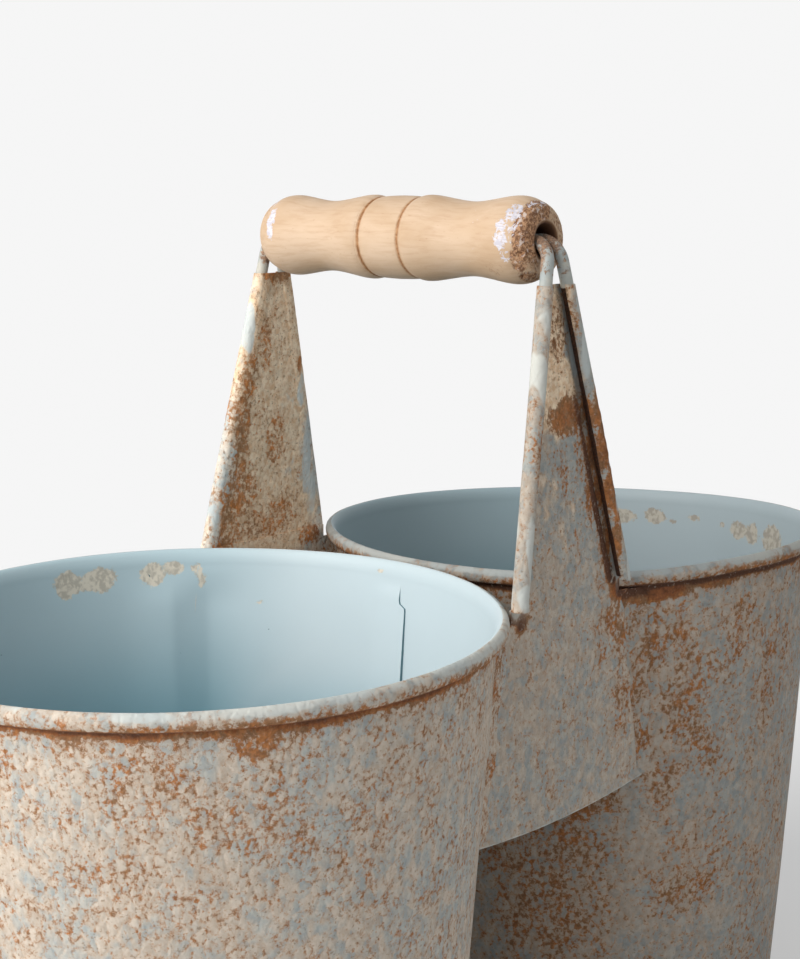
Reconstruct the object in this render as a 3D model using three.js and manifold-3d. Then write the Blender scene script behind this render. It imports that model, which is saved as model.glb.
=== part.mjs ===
// A seedling holder: two tapered sheet-metal pots side by side, joined by two A-shaped side plates
// in the valleys between them. Two steel wires run up the rolled edges of the plates and through
// the bore of a turned wooden grip. Millimetres, +Z up, X along the row of pots, Z = 0 underneath.
import * as THREE from 'three';
import { mergeVertices } from 'three/addons/utils/BufferGeometryUtils.js';
import Module from 'manifold-3d';

const wasm = await Module();
wasm.setup();

// Pots
const rimRadius = 80;
const potHeight = 155;
const wallTaper = 0.085;
const potSheet = 0.6;
const rimSpacing = 2;
const beadWidth = 3.4;
const beadHeight = 4.5;
const curlSlot = 0.5;
const footLip = 3.5;
const footBend = 0.6;
const baseFlange = 5;

// Side plates
const plateSheet = 0.45;
const plateDrop = 60.5;
const plateBelly = 2;
const rollEnd = 1;
const rollWrap = 262;
const legSpread = 22.5;

// Wires and grip
const wireRadius = 1.75;
const wireBend = 6;
const wireInset = 1.5;
const bareWire = 5.1;
const gripRise = 90.4;
const gripHalfLength = 48.8;
const gripEndGap = 0.8;
const gripBeadRadius = 11.4;
const gripGrooveRadius = 10.3;
const gripGrooveAt = 7.25;
const gripBulbRadius = 11.6;
const gripWaistRadius = 9.85;
const gripEndRadius = 11.5;
const gripEndLand = 1.5;

// Solder
const seamRadius = 1.9;
const rimSolderLength = 18;
const rimSolderCover = 1.75;

// Clearances
const seatGap = 0.3;
const rollClearance = 0.3;
const wireGap = 0.4;
const boreClearance = 0.3;
const mouthClearance = 0.4;
const rimWireClearance = 0.3;

// Facets
const potSegments = 56;
const beadSteps = 10;
const gripSegments = 32;
const wireSides = 12;
const bendSteps = 7;
const rollSteps = 18;

// Positions worked out from the sizes above
const potOffset = rimRadius + rimSpacing / 2;
const beadCentre = new THREE.Vector2(rimRadius - beadWidth / 2, potHeight - beadHeight / 2);
const beadBottom = potHeight - beadHeight;
const gripHeight = potHeight + gripRise;
const plateTop = gripHeight - wireBend - bareWire;
const plateBottom = potHeight - plateDrop;
const rollBottom = potHeight - rollEnd;
const rollInner = wireRadius + rollClearance;
const rollOuter = rollInner + plateSheet;
const wireOffset = wireRadius + wireGap / 2;
const wireReach = gripHalfLength + gripEndGap + wireRadius;
const boreRadius = wireOffset + wireRadius + boreClearance;
const legDepth = Math.sqrt((rimRadius + seatGap + rollOuter) ** 2 - (potOffset - legSpread) ** 2);
const webInner = legDepth - rollOuter;

const wallInner = (z) => rimRadius - beadWidth - wallTaper * (beadCentre.y - z);
const wallOuter = (z) => wallInner(z) + potSheet;
const valleyHalfWidth = (radius, y) => potOffset - Math.sqrt(radius ** 2 - y ** 2);

const paint = { pale: 0xb9c3c6, inside: 0xc4d3d8, rust: 0x9a6b45, wire: 0xaab5b9, wood: 0xdcb88c };

const group = new THREE.Group();

function addPiece(name, geometry, color, roughness = 0.8, metalness = 0.2) {
  const mesh = new THREE.Mesh(geometry, new THREE.MeshStandardMaterial({ color, roughness, metalness }));
  mesh.name = name;
  group.add(mesh);
  return mesh;
}

// A profile of radius and height turned about the Z axis
function turned(profile, segments) {
  return new THREE.LatheGeometry(profile, segments).rotateX(Math.PI / 2);
}

function point(x, y) {
  return new THREE.Vector2(x, y);
}

// Points along an ellipse, angles in degrees from the outward horizontal
function ellipseArc(centre, halfWidth, halfHeight, from, to, steps) {
  return Array.from({ length: steps + 1 }, (_, i) => {
    const angle = THREE.MathUtils.degToRad(from + (to - from) * i / steps);
    return point(centre.x + halfWidth * Math.cos(angle), centre.y + halfHeight * Math.sin(angle));
  });
}

function toSolid(geometry) {
  const bare = geometry.clone();
  bare.deleteAttribute('normal');
  bare.deleteAttribute('uv');
  const merged = mergeVertices(bare);
  return new wasm.Manifold(new wasm.Mesh({
    numProp: 3,
    vertProperties: merged.attributes.position.array,
    triVerts: new Uint32Array(merged.index.array),
  }));
}

function toGeometry(solid) {
  const mesh = solid.getMesh();
  const geometry = new THREE.BufferGeometry();
  geometry.setAttribute('position', new THREE.BufferAttribute(mesh.vertProperties, 3));
  geometry.setIndex(new THREE.BufferAttribute(mesh.triVerts, 1));
  return geometry;
}

// Pot wall: foot lip turned in, tapered wall, rim rolled outward with a narrow slot left open
function potWallProfile() {
  const halfWidth = beadWidth / 2;
  const halfHeight = beadHeight / 2;
  const slotEdge = halfWidth - potSheet - curlSlot;
  const curlAngle = -180 + THREE.MathUtils.radToDeg(Math.acos(slotEdge / halfWidth));
  const footRadius = wallOuter(0);
  const outerBend = footBend + potSheet;
  const bendCentre = point(wallOuter(outerBend) - outerBend, outerBend);
  const foot = ellipseArc(bendCentre, outerBend, outerBend, -90, 0, 3);
  const curlOut = ellipseArc(beadCentre, halfWidth - potSheet, halfHeight - potSheet, 180, curlAngle, beadSteps);
  const curlBack = ellipseArc(beadCentre, halfWidth, halfHeight, curlAngle, 180, beadSteps);
  const inside = ellipseArc(bendCentre, footBend, footBend, 0, -90, 2);
  return [
    point(footRadius - footLip, 0),
    ...foot,
    ...curlOut,
    ...curlBack,
    ...inside,
    point(footRadius - footLip, potSheet),
    point(footRadius - footLip, 0),
  ];
}

// Stiffening wire inside the rolled rim
function rimWireProfile() {
  const radius = beadWidth / 2 - potSheet - rimWireClearance;
  return ellipseArc(beadCentre, radius, radius, 0, 360, 8);
}

// Pot base: a shallow dish that rests on the foot lip, its edge turned up along the wall
function potBaseProfile() {
  const low = potSheet + seatGap;
  const high = low + baseFlange;
  const edge = (z) => wallInner(z) - seatGap;
  const corner = footBend + potSheet;
  return [
    point(0, low),
    point(edge(low) - corner, low),
    point(edge(low + corner), low + corner),
    point(edge(high), high),
    point(edge(high) - potSheet, high),
    point(edge(low + corner) - potSheet, low + corner),
    point(edge(low) - corner - potSheet / 2, low + potSheet),
    point(0, low + potSheet),
  ];
}

// Upper side plate: flat web with both edges rolled outward round the wires, seen from above
function plateSection() {
  const centre = point(legSpread, rollOuter);
  const right = ellipseArc(centre, rollOuter, rollOuter, -90, rollWrap - 90, rollSteps);
  const back = ellipseArc(centre, rollInner, rollInner, rollWrap - 90, -90, rollSteps);
  const half = [...right, ...back];
  const mirrored = half.map((p) => point(-p.x, p.y)).reverse();
  return new THREE.Shape([...half, ...mirrored]);
}

// The rolls follow the wire legs, which close in and lean in as they rise
function legShift(z) {
  const share = (z - potHeight) / gripRise;
  return point((wireOffset - legSpread) * share, (wireReach - legDepth) * share);
}

function upperPlate() {
  const geometry = new THREE.ExtrudeGeometry(plateSection(), { depth: plateTop - rollBottom, bevelEnabled: false });
  const position = geometry.attributes.position;
  for (let i = 0; i < position.count; i += 1) {
    const z = rollBottom + position.getZ(i);
    const shift = legShift(z);
    const side = Math.sign(position.getX(i));
    position.setXYZ(i, position.getX(i) + side * shift.x, position.getY(i) + shift.y + webInner, z);
  }
  return geometry;
}

// Lower side plate: fills the valley below the rims, clear of the beads and the tapered walls
function lowerPlate() {
  const inner = webInner + legShift(rollBottom).y;
  const beadEdge = valleyHalfWidth(rimRadius + seatGap, inner);
  const wallEdge = (z) => valleyHalfWidth(wallOuter(z) + seatGap, inner);
  const underBead = beadBottom - seatGap;
  const steps = 6;
  const edge = [point(beadEdge, rollBottom), point(beadEdge, underBead)];
  for (let i = 0; i <= steps; i += 1) {
    const z = underBead + (plateBottom - underBead) * i / steps;
    edge.push(point(wallEdge(z), z));
  }
  const corner = wallEdge(plateBottom);
  for (let i = 1; i < steps; i += 1) {
    const x = corner * (1 - i / steps);
    edge.push(point(x, plateBottom - plateBelly * (1 - (x / corner) ** 2)));
  }
  const mirrored = edge.map((p) => point(-p.x, p.y)).reverse();
  const outline = [...edge, point(0, plateBottom - plateBelly), ...mirrored];
  const geometry = new THREE.ExtrudeGeometry(new THREE.Shape(outline), { depth: plateSheet, bevelEnabled: false });
  return geometry.rotateX(Math.PI / 2).translate(0, inner + plateSheet, 0);
}

function sidePlate() {
  return toGeometry(toSolid(upperPlate()).add(toSolid(lowerPlate())));
}

// A wire path of straight runs with round bends, read at its own stations
class BentWire extends THREE.Curve {
  constructor(corners, bendRadius) {
    super();
    this.stations = [];
    corners.forEach((corner, i) => {
      if (i === 0 || i === corners.length - 1) {
        const other = corners[i === 0 ? 1 : i - 1];
        const tangent = corner.clone().sub(other).normalize().multiplyScalar(i === 0 ? -1 : 1);
        this.stations.push({ place: corner, tangent });
      } else {
        this.addBend(corners[i - 1], corner, corners[i + 1], bendRadius);
      }
    });
  }

  addBend(before, corner, after, bendRadius) {
    const arriving = corner.clone().sub(before).normalize();
    const leaving = after.clone().sub(corner).normalize();
    const turn = arriving.angleTo(leaving);
    const start = corner.clone().addScaledVector(arriving, -bendRadius * Math.tan(turn / 2));
    const inward = leaving.clone().addScaledVector(arriving, -leaving.dot(arriving)).normalize();
    for (let i = 0; i <= bendSteps; i += 1) {
      const angle = turn * i / bendSteps;
      const place = start.clone()
        .addScaledVector(arriving, bendRadius * Math.sin(angle))
        .addScaledVector(inward, bendRadius * (1 - Math.cos(angle)));
      const tangent = arriving.clone().multiplyScalar(Math.cos(angle)).addScaledVector(inward, Math.sin(angle));
      this.stations.push({ place, tangent });
    }
  }

  stationAt(u) {
    return this.stations[Math.round(u * (this.stations.length - 1))];
  }

  getPointAt(u) {
    return this.stationAt(u).place.clone();
  }

  getTangentAt(u) {
    return this.stationAt(u).tangent.clone();
  }
}

// Bail wire on one side: up the front roll, through the grip, down the back roll
function bailWire(side) {
  const foot = rollBottom + wireInset;
  const shift = legShift(foot);
  const footX = side * (legSpread + shift.x);
  const footY = legDepth + shift.y;
  const path = new BentWire([
    new THREE.Vector3(footX, -footY, foot),
    new THREE.Vector3(side * wireOffset, -wireReach, gripHeight),
    new THREE.Vector3(side * wireOffset, wireReach, gripHeight),
    new THREE.Vector3(footX, footY, foot),
  ], wireBend);
  const section = new THREE.Shape(ellipseArc(point(0, 0), wireRadius, wireRadius, 0, 360, wireSides).slice(1));
  return new THREE.ExtrudeGeometry(section, {
    steps: path.stations.length - 1,
    extrudePath: path,
    bevelEnabled: false,
  });
}

// Bore mouth: opens from where the wires start to bend down, wide enough to clear them at the end
function boreMouth() {
  const bendStart = wireReach - wireBend;
  const depth = Math.max(gripHalfLength - bendStart, wireRadius);
  const drop = wireBend - Math.sqrt(Math.max(wireBend ** 2 - depth ** 2, 0));
  return { depth, radius: Math.hypot(wireOffset, drop) + wireRadius + mouthClearance };
}

// Turned grip: centre bead between two scored grooves, a waist and a rounded bulb at each end
function gripProfile() {
  const shoulder = gripGrooveAt + 4.5;
  const endBulb = gripHalfLength - 8.8;
  const waist = (shoulder + endBulb) / 2;
  const mouth = boreMouth();
  const faceRadius = mouth.radius + gripEndLand;
  const bead = new THREE.SplineCurve([
    point(gripBeadRadius, 0),
    point(gripBeadRadius - 0.15, gripGrooveAt * 0.6),
    point(gripBeadRadius - 0.5, gripGrooveAt - 1),
    point(gripGrooveRadius, gripGrooveAt),
  ]).getPoints(6);
  const limb = new THREE.SplineCurve([
    point(gripGrooveRadius, gripGrooveAt),
    point(gripBulbRadius - 0.45, gripGrooveAt + 1),
    point(gripBulbRadius, shoulder),
    point(gripWaistRadius, waist),
    point(gripEndRadius, endBulb),
    point(gripEndRadius - 1.2, gripHalfLength - 3.2),
    point((gripEndRadius + faceRadius) / 2, gripHalfLength - 0.8),
    point(faceRadius, gripHalfLength),
  ]).getPoints(21).slice(1);
  const bore = [
    point(mouth.radius, gripHalfLength),
    point(boreRadius, gripHalfLength - mouth.depth),
  ];
  const half = [...bead, ...limb, ...bore];
  const mirrored = half.slice(1).map((p) => point(p.x, -p.y)).reverse();
  return [...mirrored, ...half, mirrored[0].clone()];
}

// Solder along one edge of the back plate: a rod cut back to clear the pot wall and the web
function plateSolder(side) {
  const outer = webInner + legShift(rollBottom).y + plateSheet;
  const place = (z) => new THREE.Vector3(side * valleyHalfWidth(wallOuter(z), outer), outer, z);
  const top = place(beadBottom - seamRadius);
  const bottom = place(plateBottom + seamRadius);
  const rod = new THREE.CapsuleGeometry(seamRadius, top.distanceTo(bottom), 3, 12).rotateX(Math.PI / 2);
  const rise = top.clone().sub(bottom).normalize();
  rod.applyQuaternion(new THREE.Quaternion().setFromUnitVectors(new THREE.Vector3(0, 0, 1), rise));
  rod.translate((top.x + bottom.x) / 2, outer, (top.z + bottom.z) / 2);
  const deep = 2 * seamRadius;
  const wall = turned([
    point(wallInner(0) - deep, 0),
    point(wallOuter(0) + seatGap, 0),
    point(wallOuter(beadBottom) + seatGap, beadBottom),
    point(wallInner(beadBottom) - deep, beadBottom),
    point(wallInner(0) - deep, 0),
  ], potSegments).translate(side * potOffset, 0, 0);
  const web = new THREE.BoxGeometry(4 * potOffset, deep, potHeight);
  web.translate(0, outer + seatGap - deep / 2, potHeight / 2);
  return toGeometry(toSolid(rod).subtract(toSolid(wall)).subtract(toSolid(web)));
}

// Solder between the two rims where they meet, cut back to clear both beads
function rimSolder() {
  const blob = new THREE.SphereGeometry(1, 20, 12);
  blob.scale(rimSpacing / 2 + rimSolderCover, rimSolderLength / 2, beadHeight / 2);
  blob.translate(0, 0, beadCentre.y);
  const ring = ellipseArc(beadCentre, beadWidth / 2 + seatGap, beadHeight / 2 + seatGap, 0, 360, 2 * beadSteps);
  const bead = turned(ring, potSegments);
  const left = toSolid(bead.clone().translate(-potOffset, 0, 0));
  const right = toSolid(bead.clone().translate(potOffset, 0, 0));
  return toGeometry(toSolid(blob).subtract(left).subtract(right));
}

for (const [side, x] of [['left', -potOffset], ['right', potOffset]]) {
  addPiece(`${side}_pot_wall`, turned(potWallProfile(), potSegments), paint.pale).position.x = x;
  addPiece(`${side}_rim_wire`, turned(rimWireProfile(), potSegments), paint.wire).position.x = x;
  addPiece(`${side}_pot_base`, turned(potBaseProfile(), potSegments), paint.inside).position.x = x;
}

for (const [end, turn] of [['back', 0], ['front', Math.PI]]) {
  addPiece(`${end}_side_plate`, sidePlate(), paint.rust).rotation.z = turn;
}

for (const [side, edge] of [['left', -1], ['right', 1]]) {
  addPiece(`back_${side}_plate_solder`, plateSolder(edge), paint.pale);
  addPiece(`front_${side}_plate_solder`, plateSolder(-edge), paint.pale).rotation.z = Math.PI;
}

addPiece('rim_solder', rimSolder(), paint.pale);

addPiece('left_bail_wire', bailWire(-1), paint.wire, 0.6, 0.5);
addPiece('right_bail_wire', bailWire(1), paint.wire, 0.6, 0.5);
addPiece('wooden_grip', new THREE.LatheGeometry(gripProfile(), gripSegments), paint.wood, 0.7, 0)
  .position.z = gripHeight;

export default group;
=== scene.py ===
import itertools
import math

import bpy
import numpy as np
from mathutils import Matrix, Vector


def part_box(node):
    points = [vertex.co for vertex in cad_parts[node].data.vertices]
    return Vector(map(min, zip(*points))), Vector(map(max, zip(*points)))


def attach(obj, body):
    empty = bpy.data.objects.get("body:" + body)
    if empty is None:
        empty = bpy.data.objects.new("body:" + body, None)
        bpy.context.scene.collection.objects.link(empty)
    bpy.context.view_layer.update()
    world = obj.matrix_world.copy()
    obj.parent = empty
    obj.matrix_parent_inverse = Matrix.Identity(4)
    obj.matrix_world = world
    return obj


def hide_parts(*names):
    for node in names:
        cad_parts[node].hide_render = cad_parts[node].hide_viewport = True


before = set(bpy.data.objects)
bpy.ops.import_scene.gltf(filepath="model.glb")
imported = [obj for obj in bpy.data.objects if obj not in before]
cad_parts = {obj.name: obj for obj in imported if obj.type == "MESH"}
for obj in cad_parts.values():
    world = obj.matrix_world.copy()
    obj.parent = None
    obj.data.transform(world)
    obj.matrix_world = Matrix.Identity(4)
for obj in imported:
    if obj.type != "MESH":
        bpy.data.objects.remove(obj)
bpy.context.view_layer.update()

MM = 0.001


def node_box(name):
    """Lowest and highest corner of a CAD node in millimetres."""
    return [np.array(corner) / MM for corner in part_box(name)]


# Sizes read from the frame
pot_low, pot_high = node_box("right_pot_wall")
grip_low, grip_high = node_box("wooden_grip")
RIM_RADIUS = (pot_high[1] - pot_low[1]) / 2
POT_OFFSET = (pot_high[0] + pot_low[0]) / 2
POT_HEIGHT = pot_high[2]
GRIP_HEIGHT = (grip_high[2] + grip_low[2]) / 2
GRIP_HALF_LENGTH = grip_high[1]

# Sizes of the sheet metal, as in the solids
POT_SHEET = 0.6
WALL_TAPER = 0.085
BEAD_WIDTH = 3.4
BEAD_HEIGHT = 4.5
CURL_SLOT = 0.5
FOOT_LIP = 3.5
FOOT_BEND = 0.6
BASE_FLANGE = 5.0
SEAT_GAP = 0.3
PLATE_SHEET = 0.45
PLATE_DROP = 60.5
PLATE_BELLY = 2.0
ROLL_END = 1.0
LEG_SPREAD = 22.5

# Sizes of the wires and the grip, as in the solids
WIRE_RADIUS = 1.75
WIRE_GAP = 0.4
WIRE_BEND = 6.0
WIRE_INSET = 1.5
BARE_WIRE = 5.1
ROLL_CLEARANCE = 0.3
GRIP_END_GAP = 0.8
BORE_CLEARANCE = 0.3
MOUTH_CLEARANCE = 0.4
BEAD_RADIUS = 11.4
GROOVE_RADIUS = 10.85
GROOVE_AT = 7.25
BULB_RADIUS = 11.55
WAIST_RADIUS = 9.85
END_RADIUS = 11.45
END_LAND = 1.5

# How the rolls really sit: pressed tight on the wires, with an open groove beside the web
PRESSED_SHEET = 0.43
TIGHT_INNER = WIRE_RADIUS + 0.02
TIGHT_OUTER = TIGHT_INNER + PRESSED_SHEET
TIGHT_WRAP = 243.0
GROOVE_EDGE = 2.75
GROOVE_STEP = 0.3

# The rod drawn inside a rolled rim is a little thinner than the rim's hollow and lies low in it
ROD_CLEARANCE = 0.12
ROD_DROP = 0.25

# Places worked out from them
BEAD_CENTRE = (RIM_RADIUS - BEAD_WIDTH / 2, POT_HEIGHT - BEAD_HEIGHT / 2)
BEAD_BOTTOM = POT_HEIGHT - BEAD_HEIGHT
PLATE_TOP = GRIP_HEIGHT - WIRE_BEND - BARE_WIRE
PLATE_BOTTOM = POT_HEIGHT - PLATE_DROP
ROLL_BOTTOM = POT_HEIGHT - ROLL_END
ROLL_INNER = WIRE_RADIUS + ROLL_CLEARANCE
ROLL_OUTER = ROLL_INNER + PLATE_SHEET
WIRE_OFFSET = WIRE_RADIUS + WIRE_GAP / 2
WIRE_REACH = GRIP_HALF_LENGTH + GRIP_END_GAP + WIRE_RADIUS
BORE_RADIUS = WIRE_OFFSET + WIRE_RADIUS + BORE_CLEARANCE
LEG_DEPTH = math.sqrt((RIM_RADIUS + SEAT_GAP + ROLL_OUTER) ** 2 - (POT_OFFSET - LEG_SPREAD) ** 2)


def wall_inner(z):
    """Inside radius of a pot's wall at height z."""
    return BEAD_CENTRE[0] - BEAD_WIDTH / 2 - WALL_TAPER * (BEAD_CENTRE[1] - z)


def wall_outer(z):
    return wall_inner(z) + POT_SHEET


def valley_half_width(radius, y):
    """Half the gap between the two pots, at a depth y from the line of their axes."""
    return POT_OFFSET - math.sqrt(radius**2 - y**2)


def leg_place(z):
    """Sideways place and depth of a wire's leg at height z."""
    share = (z - POT_HEIGHT) / (GRIP_HEIGHT - POT_HEIGHT)
    return LEG_SPREAD + (WIRE_OFFSET - LEG_SPREAD) * share, LEG_DEPTH + (WIRE_REACH - LEG_DEPTH) * share


def web_inner(z):
    return leg_place(z)[1] - ROLL_OUTER


# Random fields and shaping helpers


def noise(points, size, seed):
    """Smooth random values from about -1 to 1 that change over size millimetres."""
    place = np.asarray(points, float) / size + seed * np.array([12.9, 7.7, 5.3])
    cell = np.floor(place).astype(np.int64)
    part = place - cell
    part = part * part * (3 - 2 * part)
    total = np.zeros(len(place))
    for corner in itertools.product((0, 1), repeat=3):
        x, y, z = (cell + np.array(corner)).T
        mixed = (x * 73856093 ^ y * 19349663 ^ z * 83492791) & 0x7FFFFFFF
        mixed = ((mixed >> 13) ^ mixed) * 60493 & 0x7FFFFFFF
        mixed = ((mixed >> 15) ^ mixed) * 19990303 & 0x7FFFFFFF
        value = mixed / 0x3FFFFFFF - 1
        total += value * np.prod(np.where(corner, part, 1 - part), axis=1)
    return total


def rough_noise(points, size, seed, octaves=3):
    """Noise with finer noise added to it."""
    layers = [noise(points, size / 2**i, seed + i) / 2**i for i in range(octaves)]
    return sum(layers) / 1.5


def smooth(low, high, value):
    """0 on the far side of low, 1 past high and a soft step in between."""
    share = np.clip((np.asarray(value, float) - low) / (high - low), 0, 1)
    return share * share * (3 - 2 * share)


def hump(value, width):
    """1 where value is 0, falling softly to 0 on both sides over about width."""
    return np.exp(-((value / width) ** 2))


def blotches(across, along, marks):
    """Strength of soft-edged marks, each (across, along, half width, half height, strength)."""
    total = np.zeros(len(across))
    for x, y, half_width, half_height, strength in marks:
        distance = np.hypot((across - x) / half_width, (along - y) / half_height)
        total = np.maximum(total, strength * (1 - smooth(0.5, 1.25, distance)))
    return total


def full_turn(steps):
    """Angles in radians once round a circle."""
    return np.linspace(0, 2 * math.pi, steps, endpoint=False)


def arc(centre, half_width, half_height, start, end, steps):
    """Points on an ellipse between two angles in degrees."""
    angles = np.radians(np.linspace(start, end, steps + 1))
    return np.stack([centre[0] + half_width * np.cos(angles), centre[1] + half_height * np.sin(angles)], 1)


def spline(points, steps):
    """A smooth curve through points, with steps pieces between each pair."""
    p = np.array([points[0], *points, points[-1]], float)
    found = []
    for a, b, c, d in zip(p, p[1:], p[2:], p[3:]):
        for t in np.arange(steps) / steps:
            square, cube = 2 * a - 5 * b + 4 * c - d, 3 * b - a - 3 * c + d
            found.append(0.5 * (2 * b + (c - a) * t + square * t**2 + cube * t**3))
    found.append(p[-1])
    return np.array(found)


# Meshes


def add_object(name, data):
    """A new object in the scene."""
    thing = bpy.data.objects.new(name, data)
    bpy.context.scene.collection.objects.link(thing)
    return thing


def add_mesh(name, vertices, faces, replaces, masks=None, body="holder", sharp=35):
    """A mesh from points in millimetres, which rides on a body and stands for CAD nodes. Its masks
    are numbers on its points, and a mask that a mesh lacks reads as 0."""
    mesh = bpy.data.meshes.new(name)
    mesh.from_pydata((np.asarray(vertices) * MM).tolist(), [], [list(f) for f in faces])
    mesh.validate()
    mesh.shade_smooth()
    mesh.set_sharp_from_angle(angle=math.radians(sharp))
    for key, values in (masks or {}).items():
        mesh.attributes.new(key, "FLOAT", "POINT").data.foreach_set("value", np.asarray(values, np.float32))
    piece = add_object(name, mesh)
    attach(piece, body)
    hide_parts(*replaces)
    return piece


def grid_faces(rows, columns, wrap_rows=False, wrap_columns=True, start=0):
    """Quads over a grid of points, wrapped round where asked."""
    i = np.arange(rows if wrap_rows else rows - 1)
    j = np.arange(columns if wrap_columns else columns - 1)
    i, j = [x.ravel() for x in np.meshgrid(i, j, indexing="ij")]
    below, beside = (i + 1) % rows, (j + 1) % columns
    corners = [i * columns + j, i * columns + beside, below * columns + beside, below * columns + j]
    return (np.stack(corners, 1) + start).tolist()


def loft(rings, flip=False):
    """Points and faces of a closed solid through a stack of closed rings, with flat ends."""
    rings = np.asarray(rings, float)
    rows, columns = rings.shape[:2]
    faces = grid_faces(rows, columns)
    faces.append(list(reversed(range(columns))))
    faces.append(list(range((rows - 1) * columns, rows * columns)))
    if flip:
        faces = [f[::-1] for f in faces]
    return rings.reshape(-1, 3), faces


def join(*solids):
    """Several closed solids as one list of points and faces."""
    vertices, faces = [], []
    for points, polygons in solids:
        base = sum(len(v) for v in vertices)
        vertices.append(points)
        faces += [[i + base for i in polygon] for polygon in polygons]
    return np.concatenate(vertices), faces


def turned(profile, angles):
    """Points of a closed profile of radius and height, turned about Z at each angle in radians."""
    profile = np.asarray(profile, float)
    radius, height = profile[:, 0], profile[:, 1]
    x = np.outer(np.cos(angles), radius)
    y = np.outer(np.sin(angles), radius)
    z = np.tile(height, (len(angles), 1))
    points = np.stack([x, y, z], 2).reshape(-1, 3)
    return points, grid_faces(len(angles), len(profile), wrap_rows=True)


def at_height(outline, z):
    """A flat outline as points at height z."""
    return np.column_stack([outline, np.full(len(outline), z)])


def turn_about_z(points, angle):
    c, s = math.cos(angle), math.sin(angle)
    return np.asarray(points) @ np.array([[c, s, 0], [-s, c, 0], [0, 0, 1]])


# Materials


def put(socket, value):
    """Gives a socket a value, or links it to another node's output."""
    if isinstance(value, bpy.types.NodeSocket):
        socket.id_data.links.new(value, socket)
    else:
        socket.default_value = value


def add_node(tree, kind, *inputs, **named):
    """A new node. Names in capitals are its inputs, the other names its settings; the inputs
    without a name are filled in order."""
    node = tree.nodes.new(kind)
    for key, value in named.items():
        if key[0].isupper():
            put(node.inputs[key.replace("_", " ")], value)
        else:
            setattr(node, key, value)
    for socket, value in zip(node.inputs, inputs):
        put(socket, value)
    return node


class Shader:
    """A node material, with short calls for the nodes that the surfaces here use."""

    def __init__(self, name, bump, bump_distance, **constants):
        self.material = bpy.data.materials.new(name)
        self.material.use_nodes = True
        self.tree = self.material.node_tree
        self.surface = self.tree.nodes["Principled BSDF"]
        for key, value in constants.items():
            put(self.surface.inputs[key.replace("_", " ")], value)
        self.place = self.add("ShaderNodeTexCoord").outputs["Object"]
        self.bump = self.add("ShaderNodeBump", Strength=bump, Distance=bump_distance * MM)
        put(self.surface.inputs["Normal"], self.bump.outputs["Normal"])

    def add(self, kind, *inputs, **named):
        return add_node(self.tree, kind, *inputs, **named)

    def mask(self, name):
        return self.add("ShaderNodeAttribute", attribute_name=name).outputs["Fac"]

    def stretch(self, y=1.0, z=1.0, shift=0.0):
        """Object coordinates in millimetres, stretched and shifted."""
        scale = (1 / MM, y / MM, z / MM)
        moved = self.add("ShaderNodeMapping", Vector=self.place, Scale=scale, Location=(shift,) * 3)
        return moved.outputs["Vector"]

    def noise(self, size, detail=3.0, roughness=0.5, distortion=0.0, **stretched):
        """Noise whose features are about size millimetres wide, 0 to 1."""
        node = self.add("ShaderNodeTexNoise", Vector=self.stretch(**stretched), Scale=1 / size,
                        Detail=detail, Roughness=roughness, Distortion=distortion)
        return node.outputs["Fac"]

    def math(self, operation, a, b):
        return self.add("ShaderNodeMath", a, b, operation=operation).outputs[0]

    def plus(self, a, b):
        return self.math("ADD", a, b)

    def times(self, a, b):
        return self.math("MULTIPLY", a, b)

    def scaled(self, value, factor, offset=0.0):
        """A number times factor, plus offset."""
        return self.add("ShaderNodeMath", value, factor, offset, operation="MULTIPLY_ADD").outputs[0]

    def centred(self, value, reach):
        """A number of 0 to 1 spread over reach, half of it below 0."""
        return self.scaled(value, reach, -reach / 2)

    def flakes(self, size, distortion, shift):
        """Irregular cells about size millimetres wide: distance to the edge in cell sizes, and a
        random colour for each cell."""
        wander = self.add("ShaderNodeTexNoise", Vector=self.stretch(shift=shift), Scale=1 / size, Detail=3.0)
        moved = self.add("ShaderNodeVectorMath", wander.outputs["Color"], (distortion * size,) * 3,
                         self.stretch(z=0.75, shift=shift), operation="MULTIPLY_ADD")
        found = []
        for feature, output in (("DISTANCE_TO_EDGE", "Distance"), ("F1", "Color")):
            cells = self.add("ShaderNodeTexVoronoi", feature=feature, Vector=moved.outputs[0], Scale=1 / size)
            found.append(cells.outputs[output])
        return found

    def step(self, value, low, high):
        """0 below low, 1 above high and smooth in between."""
        node = self.add("ShaderNodeMapRange", interpolation_type="SMOOTHSTEP", Value=value,
                        From_Min=low, From_Max=high)
        return node.outputs["Result"]

    def mix(self, share, a, b, data_type="RGBA", first=6, output=2):
        """Colour a where share is 0 and b where it is 1."""
        node = self.add("ShaderNodeMix", share, data_type=data_type)
        put(node.inputs[first], a)
        put(node.inputs[first + 1], b)
        return node.outputs[output]

    def blend(self, share, a, b):
        """Number a where share is 0 and b where it is 1."""
        return self.mix(share, a, b, data_type="FLOAT", first=2, output=0)

    def shade(self, colour, amount):
        """Colour made lighter or darker by a number round 1."""
        return self.add("ShaderNodeVectorMath", colour, operation="SCALE", Scale=amount).outputs[0]

    def finish(self, colour, roughness, height):
        put(self.surface.inputs["Base Color"], colour)
        put(self.surface.inputs["Roughness"], roughness)
        put(self.bump.inputs["Height"], height)
        return self.material


def colour(red, green, blue):
    """A screen colour of 0 to 255 as the linear colour that shaders take."""
    channels = [c / 255 for c in (red, green, blue)]
    return (*[c / 12.92 if c <= 0.04045 else ((c + 0.055) / 1.055) ** 2.4 for c in channels], 1.0)


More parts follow.
